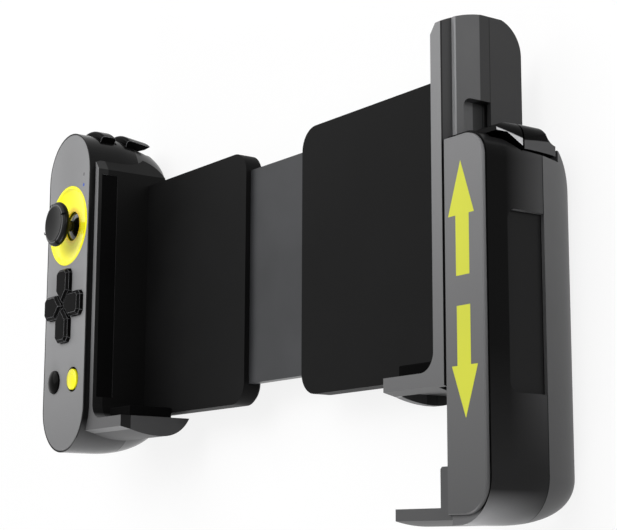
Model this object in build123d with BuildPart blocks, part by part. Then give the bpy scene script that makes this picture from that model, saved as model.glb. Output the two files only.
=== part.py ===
from build123d import *
from math import asin, cos, degrees, radians, sin, sqrt
import os

os.makedirs("parts", exist_ok=True)

# Driving sizes in millimetres. The pad lies on its back: X runs along it from the stick pod to the
# sliding grip, Y runs from its foot to its shoulder buttons, and Z is up, out of the front.
# The origin is under the middle of the whole pad.

# Front view, from left to right
pod_width = 27.0
strip_width = 2.05
opening_width = 156.5
slab_width = 4.4
slide_gap = 0.2
grip_width = 12.5

# Controls down the pod's face, from its upper end to its foot
crown_margin = 16.65
ring_radius = 12.35
ring_key_gap = 1.35
key_reach = 11.3
key_button_gap = 8.15
select_radius = 3.45
foot_margin = 18.15

# Heights above and below the foot of the two clamp frames
grip_drop = 29.5
grip_rise = 54.5
pod_drop = 6.1
trigger_reach = 1.8
strip_fall = 13.5
arch_fall = 7.5

# Depths, measured from the faceplate down
body_depth = 31.8
frame_inset = 1.9
frame_thickness = 3.3
clamp_depth = 23.4
clamp_seam_depth = 13.9
pod_seam_depth = 17.3
grip_seam_depth = 17.6
grip_front_inset = 1.0

# Clearances and overruns
running = 0.05
snug = 0.1
travel_gap = 0.3
over = 5.0
edge_break = 0.25

# Places that follow from the driving sizes
half_length = (pod_width + strip_width + opening_width + slab_width + slide_gap + grip_width) / 2
pod_radius = pod_width / 2
pod_x = pod_radius - half_length
control_run = 2 * ring_radius + ring_key_gap + 2 * key_reach + key_button_gap + 2 * select_radius
pod_length = crown_margin + control_run + foot_margin
pod_rise = pod_length - pod_drop
trigger_rise = pod_rise + trigger_reach
strip_rise = pod_rise - strip_fall
arch_rise = pod_rise - arch_fall
left_wall = pod_x + pod_radius + strip_width
right_wall = left_wall + opening_width
slab_side = right_wall + slab_width
grip_inner = slab_side + slide_gap
grip_outer = half_length
foot = (grip_drop - trigger_rise) / 2
pod_foot = foot - pod_drop
pod_top = pod_foot + pod_length
pod_low = pod_foot + pod_radius
pod_high = pod_top - pod_radius
grip_foot = foot - grip_drop
grip_top = foot + grip_rise
strip_top = foot + strip_rise
frame_front = body_depth - frame_inset
frame_back = frame_front - frame_thickness
clamp_back = frame_front - clamp_depth
clamp_seam = frame_front - clamp_seam_depth
pod_seam = body_depth - pod_seam_depth
grip_seam = frame_front - grip_seam_depth
grip_front = frame_front - grip_front_inset


def upright(x, y):
    """A plane seen along Y, with its own x along X and its own y along Z"""
    return Plane(origin=(x, y, 0), x_dir=(1, 0, 0), z_dir=(0, -1, 0))


def lengthways(x):
    """A plane seen along X, with its own x along Y and its own y along Z"""
    return Plane(origin=(x, 0, 0), x_dir=(0, 1, 0), z_dir=(1, 0, 0))


def save(part, label):
    part.label = label
    export_step(part, "parts/" + label + ".step")


# Pod hull: a slot in front view whose back is drawn in as a quarter ellipse all round
tail_flat = 2.5
tail_depth = 21.5
shell_wall = 1.6


def pod_hull(inset):
    """The pod's outer form, drawn in by inset on every side but the front"""
    sweep_width = pod_radius - tail_flat - inset
    side = pod_radius - inset

    with BuildSketch() as half:
        with BuildLine():
            floor = Line((0, inset), (tail_flat, inset))
            curve = EllipticalCenterArc(
                (tail_flat, tail_depth), sweep_width, tail_depth - inset, start_angle=270, arc_size=90
            )
            wall = Line(curve @ 1, (side, body_depth))
            lid = Line(wall @ 1, (0, body_depth))
            Line(lid @ 1, floor @ 0)
        make_face()
    with BuildPart() as hull:
        with BuildSketch(upright(pod_x, pod_high)):
            add(half.sketch)
        revolve(axis=Axis((pod_x, pod_high, 0), (0, 0, 1)), revolution_arc=180)
        with BuildSketch(upright(pod_x, pod_low)):
            add(half.sketch)
        revolve(axis=Axis((pod_x, pod_low, 0), (0, 0, -1)), revolution_arc=180)
        with BuildSketch(upright(pod_x, pod_high)):
            add(half.sketch)
            mirror(about=Plane.YZ)
        extrude(amount=pod_high - pod_low)
    return hull.part


# Faceplate and what shows in it
plate_inset = 0.3
plate_thickness = 1.4
floor_thickness = 1.2
plate_back = body_depth - plate_thickness
floor_back = plate_back - floor_thickness

ring_lip = 0.8
ring_y = pod_top - crown_margin - ring_radius
ring_seat = 1.05
ring_floor_radius = ring_radius - ring_seat

key_width = 7.4
key_web_half = 0.45
key_corner = 1.3
key_clearance = 0.15
key_rise = 1.9
key_bevel = 0.8
key_travel = 0.7
key_y = ring_y - ring_radius - ring_key_gap - key_reach
key_flange = 0.8
key_tab = 0.8

button_spread = 5.9
button_y = key_y - key_reach - key_button_gap - select_radius
select_rise = 1.5
home_radius = 3.1
home_rise = 0.9
home_surround = 0.55
button_clearance = 0.15
dome_share = 0.65

lamp_radius = 0.5
lamp_pitch = 3.3
lamp_rise = 14.5
lamp_offset = 9.6
lamp_y = ring_y + lamp_rise


def key_outline(grow):
    """One key of the direction pad, pointing up, with its inner end cut to a right angle"""
    half = key_width / 2 + grow
    reach = key_reach + grow
    tip = (key_web_half - grow) * sqrt(2)
    with BuildSketch() as outline:
        with BuildLine():
            Polyline(
                (0, tip),
                (half, tip + half),
                (half, reach - key_corner),
                (half - key_corner, reach),
                (key_corner - half, reach),
                (-half, reach - key_corner),
                (-half, tip + half),
                close=True,
            )
        make_face()
    return outline.sketch


def key_plane(quarter, height):
    """The direction pad's centre at a height, turned by so many quarter turns"""
    angle = radians(90 * quarter)
    return Plane(origin=(pod_x, key_y, height), x_dir=(cos(angle), sin(angle), 0), z_dir=(0, 0, 1))


def face_openings(ring_hole, grow, low, high):
    """The holes of the faceplate or of the floor under it, as one tool between two heights"""
    with BuildPart() as tool:
        for quarter in range(4):
            with BuildSketch(key_plane(quarter, low)):
                add(key_outline(key_clearance + grow))
            extrude(amount=high - low)
        with BuildSketch(Plane.XY.offset(low)):
            with Locations((pod_x, ring_y)):
                Circle(ring_hole)
            with Locations((pod_x - button_spread, button_y)):
                Circle(select_radius + button_clearance + grow)
            with Locations((pod_x + button_spread, button_y)):
                Circle(home_radius + button_clearance + home_surround + grow)
            with Locations((pod_x + lamp_offset, lamp_y), (pod_x + lamp_offset, lamp_y - lamp_pitch)):
                Circle(lamp_radius + running)
        extrude(amount=high - low)
    return tool.part


with BuildPart() as left_faceplate:
    with BuildSketch(Plane.XY.offset(plate_back)):
        with Locations((pod_x, (pod_low + pod_high) / 2)):
            SlotOverall(
                pod_length - 2 * plate_inset - 2 * running,
                pod_width - 2 * plate_inset - 2 * running,
                rotation=90,
            )
    extrude(amount=plate_thickness)
    chamfer(left_faceplate.faces().sort_by(Axis.Z)[-1].outer_wire().edges(), edge_break)
    add(face_openings(ring_radius + snug, 0, plate_back - over, body_depth + over), mode=Mode.SUBTRACT)
save(left_faceplate.part, "left_faceplate")


# Shoulder bumper and trigger on the pod's upper end, both part of a ring about the end's centre
bumper_front = 4.2
bumper_depth = 4.9
bumper_reach = 1.7
bumper_bite = 1.9
bumper_outer = pod_radius + bumper_reach
bumper_inner = pod_radius - bumper_bite
bumper_half_angle = 38
pocket_half_angle = 43
bumper_travel = 0.9
bumper_round = 0.9
trigger_gap = 4.0
trigger_depth = 8.3
trigger_tail_rise = 2.6
trigger_tail_slant = 4.6
lug_width = 4.0
lug_reach = 6.3
lug_low = pod_radius - lug_reach
lug_depth = 2.8
lug_bite = 1.0
pin_radius = 0.7
pin_length = 7.0
pin_depth = 4.9
pin_rise = pod_radius - pin_depth
trigger_outer = pod_radius + trigger_reach
pocket_floor = bumper_inner - bumper_travel - travel_gap
bumper_top = body_depth - frame_inset - bumper_front
bumper_bottom = bumper_top - bumper_depth
trigger_top = bumper_bottom - trigger_gap
trigger_bottom = trigger_top - trigger_depth
pin_z = trigger_top - lug_depth / 2


def ring_sector(points, half_angle):
    """A section of radii and heights, turned about the pod's upper end, symmetric about its own middle"""
    angle = radians(half_angle)
    start = Plane(
        origin=(pod_x, pod_high, 0), x_dir=(sin(angle), cos(angle), 0), z_dir=(cos(angle), -sin(angle), 0)
    )
    with BuildPart() as sector:
        with BuildSketch(start):
            with BuildLine():
                Polyline(*points, close=True)
            make_face()
        revolve(axis=Axis((pod_x, pod_high, 0), (0, 0, 1)), revolution_arc=2 * half_angle)
    return sector.part


def pocket_section(low, high):
    """The section of a pocket in the pod's end between two heights"""
    far = pod_radius + over
    return ((pocket_floor, low), (far, low), (far, high), (pocket_floor, high))


bumper_pocket = ring_sector(
    pocket_section(bumper_bottom - travel_gap, bumper_top + travel_gap), pocket_half_angle
)
trigger_pocket = ring_sector(
    pocket_section(trigger_bottom - over, trigger_top + travel_gap), pocket_half_angle
)

with BuildPart() as lug_pocket:
    with BuildSketch(Plane.XY.offset(trigger_top - lug_depth - travel_gap)):
        with Locations((pod_x, pod_high + lug_low - travel_gap)):
            Rectangle(lug_width + 2 * travel_gap, over + over, align=(Align.CENTER, Align.MIN))
    extrude(amount=lug_depth + 2 * travel_gap)
    with BuildSketch(lengthways(pod_x - pin_length / 2)):
        with Locations((pod_high + pin_rise, pin_z)):
            Circle(pin_radius)
    extrude(amount=pin_length)

# Shoulder switches: a body let into the shell behind each bumper and trigger, its nub outward
switch_width = 5.0
switch_body = 3.0
switch_height = 3.0
switch_nub_width = 2.0
switch_nub = 0.35
switch_sink = 0.2
trigger_switch_rise = 2.6


def shoulder_switch(x, face_y, z):
    """A small switch whose outer face stands at face_y, with its nub beyond it"""
    with BuildPart() as switch:
        with BuildSketch(Plane.XY.offset(z - switch_height / 2)):
            with Locations((x, face_y)):
                Rectangle(switch_width, switch_body, align=(Align.CENTER, Align.MAX))
        extrude(amount=switch_height)
        with BuildSketch(Plane.XY.offset(z - switch_nub_width / 2)):
            with Locations((x, face_y)):
                Rectangle(switch_nub_width, 2 * switch_nub)
        extrude(amount=switch_nub_width)
    return switch.part


def switch_pocket(x, face_y, z):
    """The pocket that holds such a switch, open outward"""
    with BuildPart() as pocket:
        with BuildSketch(Plane.XY.offset(z - switch_height / 2 - running)):
            with Locations((x, face_y - switch_body - running)):
                Rectangle(
                    switch_width + 2 * running, switch_body + 2 * travel_gap, align=(Align.CENTER, Align.MIN)
                )
        extrude(amount=switch_height + 2 * running)
    return pocket.part


left_bumper_switch = (pod_x, pod_high + pocket_floor - switch_sink, (bumper_bottom + bumper_top) / 2)
left_trigger_switch = (pod_x, pod_high + pocket_floor - switch_sink, trigger_bottom + trigger_switch_rise)

with BuildPart() as left_shoulder_switches:
    add(shoulder_switch(*left_bumper_switch))
    add(shoulder_switch(*left_trigger_switch))
save(left_shoulder_switches.part, "left_shoulder_switches")

# Screws that close the pod, driven from the back
screw_radius = 0.8
screw_head_radius = 1.6
screw_head = 1.2
pod_screw_spread = 4.0
pod_screw_low = 7.2
pod_screw_high = 5.6
pod_screw_seat = 6.5
pod_screw_tip = pod_seam + 5.5
pod_cavity_low = 4.6
pod_cavity_high = 3.6

pod_screw_spots = [
    (pod_x - pod_screw_spread, pod_low - pod_screw_low),
    (pod_x + pod_screw_spread, pod_low - pod_screw_low),
    (pod_x - pod_screw_spread, pod_high + pod_screw_high),
    (pod_x + pod_screw_spread, pod_high + pod_screw_high),
]

with BuildPart() as pod_screw_holes:
    with BuildSketch(Plane.XY.offset(pod_screw_seat)):
        with Locations(*pod_screw_spots):
            Circle(screw_radius)
    extrude(amount=pod_screw_tip - pod_screw_seat)
    with BuildSketch(Plane.XY.offset(-over)):
        with Locations(*pod_screw_spots):
            Circle(screw_head_radius + snug)
    extrude(amount=pod_screw_seat + over)

with BuildPart() as pod_cavity:
    add(pod_hull(shell_wall))
    split(bisect_by=Plane.XY.offset(floor_back), keep=Keep.BOTTOM)
    split(bisect_by=Plane(origin=(0, pod_high + pod_cavity_high, 0), z_dir=(0, 1, 0)), keep=Keep.BOTTOM)
    split(bisect_by=Plane(origin=(0, pod_low - pod_cavity_low, 0), z_dir=(0, 1, 0)), keep=Keep.TOP)

# Charging socket in the pod's outer side
socket_width = 9.0
socket_height = 3.4
socket_wall = 0.4
socket_depth = 6.0
socket_y = (pod_low + pod_high) / 2
socket_drop = 9.5
socket_z = body_depth - socket_drop
socket_plane = Plane(origin=(pod_x - pod_radius, socket_y, socket_z), x_dir=(0, 1, 0), z_dir=(1, 0, 0))

with BuildPart() as charging_socket:
    with BuildSketch(socket_plane.offset(running)):
        SlotOverall(socket_width, socket_height)
        SlotOverall(socket_width - 2 * socket_wall, socket_height - 2 * socket_wall, mode=Mode.SUBTRACT)
    extrude(amount=socket_depth)
    with BuildSketch(socket_plane.offset(socket_depth - socket_wall)):
        SlotOverall(socket_width, socket_height)
    extrude(amount=socket_wall)
save(charging_socket.part, "charging_socket")

with BuildPart() as socket_hole:
    with BuildSketch(socket_plane.offset(-over)):
        SlotOverall(socket_width + 2 * running, socket_height + 2 * running)
    extrude(amount=socket_depth + over)

# Posts on the front shell that carry the circuit board
post_radius = 1.8
post_low_spread = 9.3
post_low_drop = 16.0
post_high_spread = 7.6
post_high_rise = 14.6
board_gap = 2.5
board_thickness = 1.2
board_top = floor_back - board_gap
board_bottom = board_top - board_thickness
post_screw_radius = 0.7
post_screw_head_radius = 1.5
post_screw_head = 0.9
post_screw_bite = 2.0
post_spots = [
    (pod_x - post_low_spread, key_y - post_low_drop),
    (pod_x + post_low_spread, key_y - post_low_drop),
    (pod_x - post_high_spread, ring_y + post_high_rise),
    (pod_x + post_high_spread, ring_y + post_high_rise),
]

with BuildPart() as left_front_shell:
    add(pod_hull(0))
    split(bisect_by=Plane.XY.offset(pod_seam), keep=Keep.TOP)
    fillet(left_front_shell.faces().sort_by(Axis.Z)[-1].outer_wire().edges(), plate_inset - edge_break / 2)
    add(pod_cavity.part, mode=Mode.SUBTRACT)
    with BuildSketch(Plane.XY.offset(board_top)):
        with Locations(*post_spots):
            Circle(post_radius)
    extrude(amount=board_gap + floor_thickness / 2)
    with BuildSketch(Plane.XY.offset(plate_back)):
        with Locations((pod_x, (pod_low + pod_high) / 2)):
            SlotOverall(pod_length - 2 * plate_inset, pod_width - 2 * plate_inset, rotation=90)
    extrude(amount=plate_thickness + over, mode=Mode.SUBTRACT)
    add(face_openings(ring_floor_radius, 0, floor_back - over, body_depth), mode=Mode.SUBTRACT)
    with BuildSketch(Plane.XY.offset(board_top)):
        with Locations(*post_spots):
            Circle(post_screw_radius)
    extrude(amount=post_screw_bite, mode=Mode.SUBTRACT)
    add(bumper_pocket, mode=Mode.SUBTRACT)
    add(trigger_pocket, mode=Mode.SUBTRACT)
    add(lug_pocket.part, mode=Mode.SUBTRACT)
    add(switch_pocket(*left_bumper_switch), mode=Mode.SUBTRACT)
    add(pod_screw_holes.part, mode=Mode.SUBTRACT)
    add(socket_hole.part, mode=Mode.SUBTRACT)
save(left_front_shell.part, "left_front_shell")

with BuildPart() as left_rear_shell:
    add(pod_hull(0))
    split(bisect_by=Plane.XY.offset(pod_seam), keep=Keep.BOTTOM)
    add(pod_cavity.part, mode=Mode.SUBTRACT)
    add(trigger_pocket, mode=Mode.SUBTRACT)
    add(lug_pocket.part, mode=Mode.SUBTRACT)
    add(switch_pocket(*left_trigger_switch), mode=Mode.SUBTRACT)
    add(pod_screw_holes.part, mode=Mode.SUBTRACT)
save(left_rear_shell.part, "left_rear_shell")

with BuildPart() as pod_screws:
    with BuildSketch(Plane.XY.offset(pod_screw_seat)):
        with Locations(*pod_screw_spots):
            Circle(screw_radius)
    extrude(amount=pod_screw_tip - pod_screw_seat)
    with BuildSketch(Plane.XY.offset(pod_screw_seat - screw_head)):
        with Locations(*pod_screw_spots):
            Circle(screw_head_radius)
    extrude(amount=screw_head)
save(pod_screws.part, "pod_screws")

bumper_section = (
    (bumper_inner, bumper_bottom),
    (bumper_outer, bumper_bottom),
    (bumper_outer, bumper_top),
    (bumper_inner, bumper_top),
)
with BuildPart() as left_bumper:
    add(ring_sector(bumper_section, bumper_half_angle))
    fillet(left_bumper.edges().filter_by(GeomType.CIRCLE).group_by(SortBy.RADIUS)[-1], bumper_round)
save(left_bumper.part, "left_bumper")

# The trigger thins to a sharp tail like a claw
trigger_section = (
    (bumper_inner, trigger_top),
    (bumper_inner, trigger_bottom + trigger_tail_slant),
    (bumper_inner + trigger_tail_rise / 2, trigger_bottom + trigger_tail_slant / 3),
    (bumper_inner + trigger_tail_rise, trigger_bottom),
    (trigger_outer, trigger_top),
)
with BuildPart() as left_trigger:
    add(ring_sector(trigger_section, bumper_half_angle))
    with BuildSketch(Plane.XY.offset(trigger_top - lug_depth)):
        with Locations((pod_x, pod_high + lug_low)):
            Rectangle(lug_width, bumper_inner + lug_bite - lug_low, align=(Align.CENTER, Align.MIN))
    extrude(amount=lug_depth)
    fillet(left_trigger.edges().filter_by(GeomType.CIRCLE).group_by(SortBy.RADIUS)[-1], bumper_round)
    with BuildSketch(lengthways(pod_x - lug_width)):
        with Locations((pod_high + pin_rise, pin_z)):
            Circle(pin_radius + running)
    extrude(amount=lug_width + lug_width, mode=Mode.SUBTRACT)
save(left_trigger.part, "left_trigger")

with BuildPart() as left_trigger_pin:
    with BuildSketch(lengthways(pod_x - pin_length / 2)):
        with Locations((pod_high + pin_rise, pin_z)):
            Circle(pin_radius)
    extrude(amount=pin_length)
save(left_trigger_pin.part, "left_trigger_pin")

# Dished ring round the stick
hub_radius = 4.6
hub_depth = 1.5
ring_step = 0.45
ring_skin = 1.0
dish_share = 0.62
ring_under = ring_floor_radius - snug

with BuildPart() as stick_ring:
    with BuildSketch(upright(pod_x, ring_y)):
        with BuildLine():
            top = Line((ring_radius, body_depth), (ring_radius - ring_lip, body_depth))
            step = Line(top @ 1, (ring_radius - ring_lip - ring_step, body_depth - ring_step))
            dish = ThreePointArc(
                step @ 1,
                (
                    hub_radius + (ring_radius - ring_lip - ring_step - hub_radius) * dish_share,
                    body_depth - ring_step - (hub_depth - ring_step) * dish_share,
                ),
                (hub_radius, body_depth - hub_depth),
            )
            lip = Line(dish @ 1, (hub_radius, body_depth - hub_depth - ring_skin / 2))
            under = ThreePointArc(
                lip @ 1,
                (
                    hub_radius + (ring_under - hub_radius) * dish_share,
                    body_depth - hub_depth * dish_share - ring_skin * sqrt(2),
                ),
                (ring_under, plate_back - floor_thickness / 2),
            )
            neck = Line(under @ 1, (ring_under, plate_back))
            seat = Line(neck @ 1, (ring_radius, plate_back))
            Line(seat @ 1, top @ 0)
        make_face()
    revolve(axis=Axis((pod_x, ring_y, 0), (0, 0, 1)), revolution_arc=360)
save(stick_ring.part, "stick_ring")

# Stick: cap and shaft press down in a pivot block, which tilts in a yoke, which tilts in a housing
housing_side = 14.0
housing_wall = 1.0
housing_drop = 5.8
housing_top = body_depth - housing_drop
housing_height = 9.2
housing_mouth = 5.0
ear_reach = 3.2
ear_thickness = 0.6
ring_room = 8.4
ear_width = 4.0
pivot_drop = 9.6
pivot_z = body_depth - pivot_drop
yoke_side = 9.2
yoke_opening = 6.4
yoke_height = 2.4
trunnion_radius = 0.7
trunnion_bite = 0.7
pivot_side = 5.4
pivot_height = 2.2
pivot_trunnion_radius = 0.6
shaft_radius = 1.3
shaft_waist_radius = 1.7
shaft_foot = 2.2
skirt_gap = 0.35
skirt_wall = 0.8
skirt_half_angle = 39
click_travel = 0.4
cap_rise = 1.8
cap_radius = 6.85
cap_thickness = 3.4
cap_neck_radius = 3.2
cap_socket = 1.8
cap_dish = 0.6
cap_dish_radius = 5.3
cap_side_round = 1.0
stick_center = Plane(origin=(pod_x, ring_y, pivot_z), x_dir=(1, 0, 0), z_dir=(0, 0, 1))

with BuildPart() as stick_housing:
    with BuildSketch(Plane(origin=(pod_x, ring_y, housing_top - housing_height))):
        Rectangle(housing_side, housing_side)
    extrude(amount=housing_height)
    with BuildSketch(Plane(origin=(pod_x, ring_y, housing_top - housing_height + housing_wall))):
        Rectangle(housing_side - 2 * housing_wall, housing_side - 2 * housing_wall)
    extrude(amount=housing_height - 2 * housing_wall, mode=Mode.SUBTRACT)
    with BuildSketch(Plane(origin=(pod_x, ring_y, housing_top - housing_wall))):
        Circle(housing_mouth)
    extrude(amount=housing_wall, mode=Mode.SUBTRACT)
    with BuildSketch(Plane(origin=(pod_x, ring_y, board_bottom))):
        Rectangle(housing_side + 2 * ear_reach, ear_width)
        Rectangle(housing_side - housing_wall, housing_side - housing_wall, mode=Mode.SUBTRACT)
    extrude(amount=-ear_thickness)
    with BuildSketch(lengthways(pod_x - housing_side / 2)):
        with Locations((ring_y, pivot_z)):
            Circle(trunnion_radius + running)
    extrude(amount=housing_side, mode=Mode.SUBTRACT)
save(stick_housing.part, "stick_housing")

with BuildPart() as stick_yoke:
    with BuildSketch(stick_center.offset(-yoke_height / 2)):
        Rectangle(yoke_side, yoke_side)
        Rectangle(yoke_opening, yoke_opening, mode=Mode.SUBTRACT)
    extrude(amount=yoke_height)
    trunnion_end = housing_side / 2 - housing_wall + trunnion_bite
    with BuildSketch(lengthways(pod_x - trunnion_end)):
        with Locations((ring_y, pivot_z)):
            Circle(trunnion_radius)
    extrude(amount=trunnion_end - yoke_opening / 2)
    with BuildSketch(lengthways(pod_x + yoke_opening / 2)):
        with Locations((ring_y, pivot_z)):
            Circle(trunnion_radius)
    extrude(amount=trunnion_end - yoke_opening / 2)
    with BuildSketch(upright(pod_x, ring_y + yoke_side)):
        with Locations((0, pivot_z)):
            Circle(pivot_trunnion_radius + running)
    extrude(amount=2 * yoke_side, mode=Mode.SUBTRACT)
save(stick_yoke.part, "stick_yoke")

with BuildPart() as stick_pivot:
    with BuildSketch(stick_center.offset(-pivot_height / 2)):
        Rectangle(pivot_side, pivot_side)
    extrude(amount=pivot_height)
    pivot_reach = yoke_side / 2 - trunnion_bite / 2
    with BuildSketch(upright(pod_x, ring_y + pivot_reach)):
        with Locations((0, pivot_z)):
            Circle(pivot_trunnion_radius)
    extrude(amount=2 * pivot_reach)
    with BuildSketch(stick_center.offset(-pivot_height)):
        Circle(shaft_radius + running)
    extrude(amount=2 * pivot_height, mode=Mode.SUBTRACT)
save(stick_pivot.part, "stick_pivot")

cap_bottom = body_depth + cap_rise
hub_low = body_depth - hub_depth - ring_skin / 2 - pivot_z
skirt_radius = sqrt(hub_radius**2 + hub_low**2) - skirt_gap
waist_bottom = pivot_z + pivot_height / 2 + click_travel + travel_gap
bowl_radius = (cap_dish_radius**2 + cap_dish**2) / (2 * cap_dish)

with BuildPart() as thumbstick_shaft:
    with BuildSketch(stick_center.offset(-shaft_foot)):
        Circle(shaft_radius)
    extrude(amount=cap_bottom + cap_socket - pivot_z + shaft_foot)
    with BuildSketch(Plane(origin=(pod_x, ring_y, waist_bottom))):
        Circle(shaft_waist_radius)
    extrude(amount=cap_bottom - waist_bottom)
    with BuildSketch(upright(pod_x, ring_y)):
        with BuildLine():
            start = 90 - skirt_half_angle
            outside = CenterArc((0, pivot_z), skirt_radius, start, skirt_half_angle)
            inside = CenterArc((0, pivot_z), skirt_radius - skirt_wall, start, skirt_half_angle)
            Line(outside @ 1, inside @ 1)
            Line(inside @ 0, outside @ 0)
        make_face()
    revolve(axis=Axis((pod_x, ring_y, 0), (0, 0, 1)), revolution_arc=360)
save(thumbstick_shaft.part, "thumbstick_shaft")

with BuildPart() as thumbstick_cap:
    with BuildSketch(upright(pod_x, ring_y)):
        with BuildLine():
            bottom = Line((0, cap_bottom), (cap_neck_radius, cap_bottom))
            flare = Line(bottom @ 1, (cap_radius - cap_side_round / 2, cap_bottom + cap_side_round))
            side = ThreePointArc(
                flare @ 1,
                (cap_radius, cap_bottom + cap_thickness / 2),
                (cap_radius - cap_side_round / 2, cap_bottom + cap_thickness - cap_side_round / 2),
            )
            brow = Line(side @ 1, (cap_dish_radius, cap_bottom + cap_thickness))
            bowl = CenterArc(
                (0, cap_bottom + cap_thickness - cap_dish + bowl_radius),
                bowl_radius,
                start_angle=270,
                arc_size=degrees(asin(cap_dish_radius / bowl_radius)),
            )
            Line(bowl @ 0, bottom @ 0)
        make_face()
    revolve(axis=Axis((pod_x, ring_y, 0), (0, 0, 1)), revolution_arc=360)
    with BuildSketch(Plane(origin=(pod_x, ring_y, cap_bottom))):
        Circle(shaft_radius)
    extrude(amount=cap_socket, mode=Mode.SUBTRACT)
save(thumbstick_cap.part, "thumbstick_cap")

# Direction keys
for quarter, label in enumerate(("dpad_up", "dpad_left", "dpad_down", "dpad_right")):
    with BuildPart() as key:
        with BuildSketch(key_plane(quarter, floor_back - key_flange)):
            add(key_outline(0))
        extrude(amount=body_depth + key_rise - floor_back + key_flange)
        chamfer(key.faces().sort_by(Axis.Z)[-1].outer_wire().edges(), key_bevel)
        with BuildSketch(key_plane(quarter, floor_back - key_flange)):
            with Locations((0, key_reach - key_width / 2)):
                Rectangle(key_width + 2 * key_tab, key_width / 2)
        extrude(amount=key_flange - running)
    save(key.part, label)


def round_button(x, radius, rise):
    """A domed push button with a collar under the floor"""
    collar = radius + key_tab
    dome_rise = rise * dome_share
    dome_radius = (radius**2 + dome_rise**2) / (2 * dome_rise)
    half_angle = degrees(asin(radius / dome_radius))
    with BuildPart() as button:
        with BuildSketch(upright(x, button_y)):
            with BuildLine():
                base = Line((0, floor_back - key_flange), (collar, floor_back - key_flange))
                edge = Line(base @ 1, (collar, floor_back - running))
                step = Line(edge @ 1, (radius, floor_back - running))
                wall = Line(step @ 1, (radius, body_depth + rise - dome_rise))
                dome = CenterArc(
                    (0, body_depth + rise - dome_radius),
                    dome_radius,
                    start_angle=90 - half_angle,
                    arc_size=half_angle,
                )
                Line(dome @ 1, base @ 0)
            make_face()
        revolve(axis=Axis((x, button_y, 0), (0, 0, 1)), revolution_arc=360)
    return button.part


save(round_button(pod_x - button_spread, select_radius, select_rise), "select_button")
save(round_button(pod_x + button_spread, home_radius, home_rise), "home_button")

# A rubber sleeve fills the wider hole round the home button
with BuildPart() as home_button_surround:
    with BuildSketch(Plane(origin=(pod_x + button_spread, button_y, floor_back))):
        Circle(home_radius + button_clearance + home_surround - running)
        Circle(home_radius + button_clearance, mode=Mode.SUBTRACT)
    extrude(amount=body_depth - floor_back - edge_break)
save(home_button_surround.part, "home_button_surround")

with BuildPart() as indicator_lamps:
    with BuildSketch(Plane.XY.offset(board_top)):
        with Locations((pod_x + lamp_offset, lamp_y), (pod_x + lamp_offset, lamp_y - lamp_pitch)):
            Circle(lamp_radius)
    extrude(amount=body_depth - board_top)
save(indicator_lamps.part, "indicator_lamps")

# Rubber sheet under the keys, circuit board and battery
membrane_thickness = 0.8
membrane_drop = key_travel + snug
membrane_top = floor_back - key_flange - membrane_drop
membrane_width = 20.4
membrane_margin = 1.2
membrane_low = button_y - select_radius - key_tab - membrane_margin
membrane_high = key_y + key_reach + membrane_margin
board_width = 21.6
board_low = pod_low - pod_cavity_low + travel_gap
board_high = pod_high + pod_cavity_high - travel_gap
battery_width = 14.8
battery_length = 36.0
battery_thickness = 6.6
battery_corner = 1.0

with BuildPart() as button_membrane:
    with BuildSketch(Plane(origin=(pod_x, (membrane_low + membrane_high) / 2, board_top))):
        RectangleRounded(membrane_width, membrane_high - membrane_low, membrane_margin)
    extrude(amount=membrane_top - board_top)
    with BuildSketch(Plane.XY.offset(board_top)):
        with Locations(*post_spots):
            Circle(post_radius + snug)
    extrude(amount=membrane_top - board_top, mode=Mode.SUBTRACT)
save(button_membrane.part, "button_membrane")

with BuildPart() as left_circuit_board:
    with BuildSketch(Plane(origin=(pod_x, (board_low + board_high) / 2, board_bottom))):
        Rectangle(board_width, board_high - board_low)
    extrude(amount=board_thickness)
    with BuildSketch(Plane(origin=(pod_x, ring_y, board_bottom))):
        Rectangle(housing_side + 2 * snug, housing_side + 2 * snug)
        Circle(ring_room)
    extrude(amount=board_thickness, mode=Mode.SUBTRACT)
    with BuildSketch(Plane.XY.offset(board_bottom)):
        with Locations(*post_spots):
            Circle(post_screw_radius + running)
    extrude(amount=board_thickness, mode=Mode.SUBTRACT)
save(left_circuit_board.part, "left_circuit_board")

with BuildPart() as board_screws:
    with BuildSketch(Plane.XY.offset(board_bottom)):
        with Locations(*post_spots):
            Circle(post_screw_radius)
    extrude(amount=board_thickness + post_screw_bite)
    with BuildSketch(Plane.XY.offset(board_bottom - post_screw_head)):
        with Locations(*post_spots):
            Circle(post_screw_head_radius)
    extrude(amount=post_screw_head)
save(board_screws.part, "board_screws")

with BuildPart() as battery:
    battery_y = board_low + battery_length / 2 + snug
    with BuildSketch(Plane(origin=(pod_x, battery_y, board_bottom - battery_thickness))):
        RectangleRounded(battery_width, battery_length, battery_corner)
    extrude(amount=battery_thickness)
save(battery.part, "battery")

# Clamps: an L in front view, with a ledge along its foot and a rounded belly under it
bar_height = 3.2
bar_reach = 17.5
corner_round = 4.5
top_slope_share = 1.3
right_strip_width = 3.5
belly_lip = 0.75
belly_front_drop = 2.05
belly_drop = 2.3
belly_tail_drop = 0.9
belly_front_share = 0.45
belly_tail_share = 0.45
tail_rise = 4.8
arch_front_drop = 3.7
arch_tail_round = 4.0
fin_thickness = 2.2
ledge_top = foot + bar_height
left_ledge_end = left_wall + bar_reach
right_ledge_end = right_wall - bar_reach


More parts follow.
